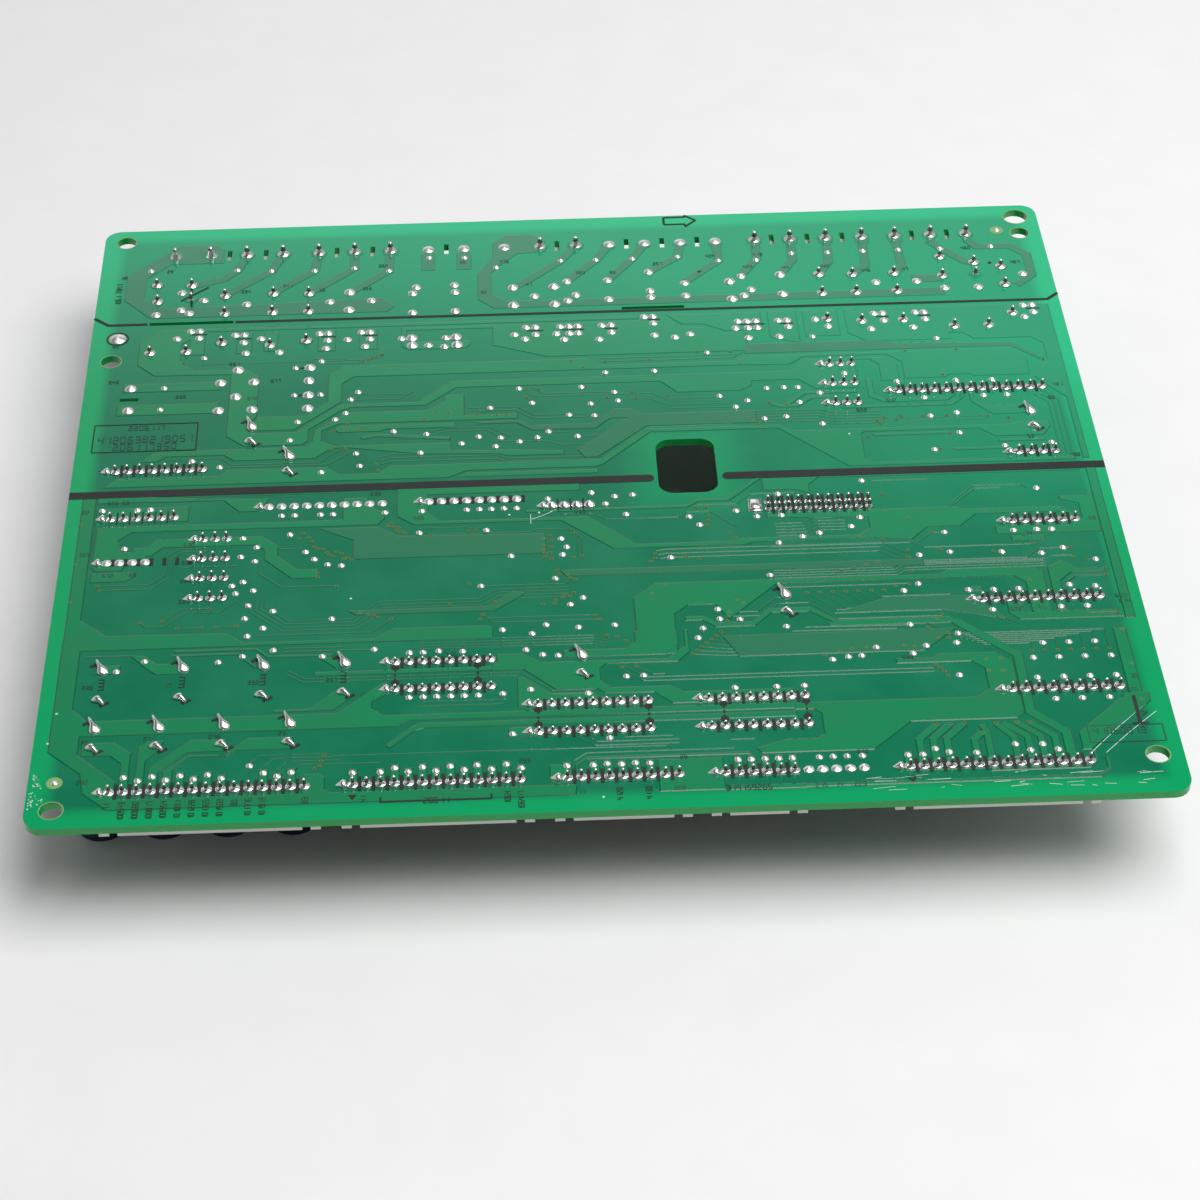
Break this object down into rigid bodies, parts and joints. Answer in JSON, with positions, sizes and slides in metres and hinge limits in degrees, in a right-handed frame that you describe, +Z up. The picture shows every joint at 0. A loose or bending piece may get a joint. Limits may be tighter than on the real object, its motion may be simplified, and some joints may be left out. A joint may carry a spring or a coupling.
{
  "type": "appliance main circuit board",
  "caption": "Main circuit board of a household appliance, lying on its parts with its soldered side up, with wafers along its edges, relays, chips and a window.",
  "frame": {"origin": "bottom centre of the box of the part as it lies on its relays and capacitors", "axes": "+X along the front edge to the right, +Y to the back edge with the power sockets, +Z up out of the soldered side"},
  "size_m": [0.208, 0.189, 0.024],
  "materials": {
    "laminate": "green solder mask over copper on woven glass laminate",
    "solder": "bright tin solder",
    "wafer_nylon": "moulded natural nylon",
    "power_wafer_nylon": "moulded natural nylon",
    "header_plastic": "moulded black",
    "pin_metal": "tin plated",
    "power_relay_case": "moulded black",
    "slim_relay_case": "moulded black",
    "bobbin_plastic": "moulded phenolic, dark",
    "winding_tape": "yellow polyester tape",
    "ferrite": "ground ferrite, dark grey",
    "choke_sleeve": "shrunk black sleeve",
    "capacitor_sleeve": "dark shrunk sleeve over an aluminium can",
    "chip_moulding": "moulded epoxy, black",
    "regulator_moulding": "moulded epoxy, black",
    "resistor_body": "lacquered, pale blue",
    "diode_body": "moulded epoxy, black"
  },
  "bodies": {
    "root": {"bent_joints": "solder", "capacitor_1": "capacitor_sleeve", "capacitor_2": "capacitor_sleeve", "capacitor_3": "capacitor_sleeve", "capacitor_4": "capacitor_sleeve", "capacitor_5": "capacitor_sleeve", "capacitor_6": "capacitor_sleeve", "capacitor_7": "capacitor_sleeve", "chip_joints": "solder", "chip_legs": "pin_metal", "chokes": "choke_sleeve", "circuit_board": "laminate", "controller_chip": "chip_moulding", "diodes": "diode_body", "driver_chip_1": "chip_moulding", "driver_chip_2": "chip_moulding", "driver_chip_3": "chip_moulding", "front_wafer_1": "wafer_nylon", "front_wafer_2": "wafer_nylon", "front_wafer_3": "wafer_nylon", "front_wafer_4": "wafer_nylon", "front_wafer_5": "wafer_nylon", "header_shroud": "header_plastic", "left_wafer_1": "wafer_nylon", "left_wafer_2": "wafer_nylon", "middle_wafer": "wafer_nylon", "pin_joints": "solder", "power_joints": "solder", "power_pins": "pin_metal", "power_relay_1": "power_relay_case", "power_relay_2": "power_relay_case", "power_wafer_1": "power_wafer_nylon", "power_wafer_2": "power_wafer_nylon", "power_wafer_3": "power_wafer_nylon", "power_wafer_4": "power_wafer_nylon", "power_wafer_5": "power_wafer_nylon", "regulators": "regulator_moulding", "relay_joints": "solder", "resistors": "resistor_body", "right_wafer_1": "wafer_nylon", "right_wafer_2": "wafer_nylon", "right_wafer_3": "wafer_nylon", "right_wafer_4": "wafer_nylon", "right_wafer_5": "wafer_nylon", "signal_pins": "pin_metal", "slim_relay_1": "slim_relay_case", "slim_relay_2": "slim_relay_case", "slim_relay_3": "slim_relay_case", "slim_relay_4": "slim_relay_case", "slim_relay_5": "slim_relay_case", "slim_relay_6": "slim_relay_case", "slim_relay_7": "slim_relay_case", "small_capacitors": "capacitor_sleeve", "small_joints": "solder", "spare_joints": "solder", "thief_pads": "solder", "transformer_bobbin": "bobbin_plastic", "transformer_core": "ferrite", "transformer_winding": "winding_tape"}
  },
  "joints": []
}
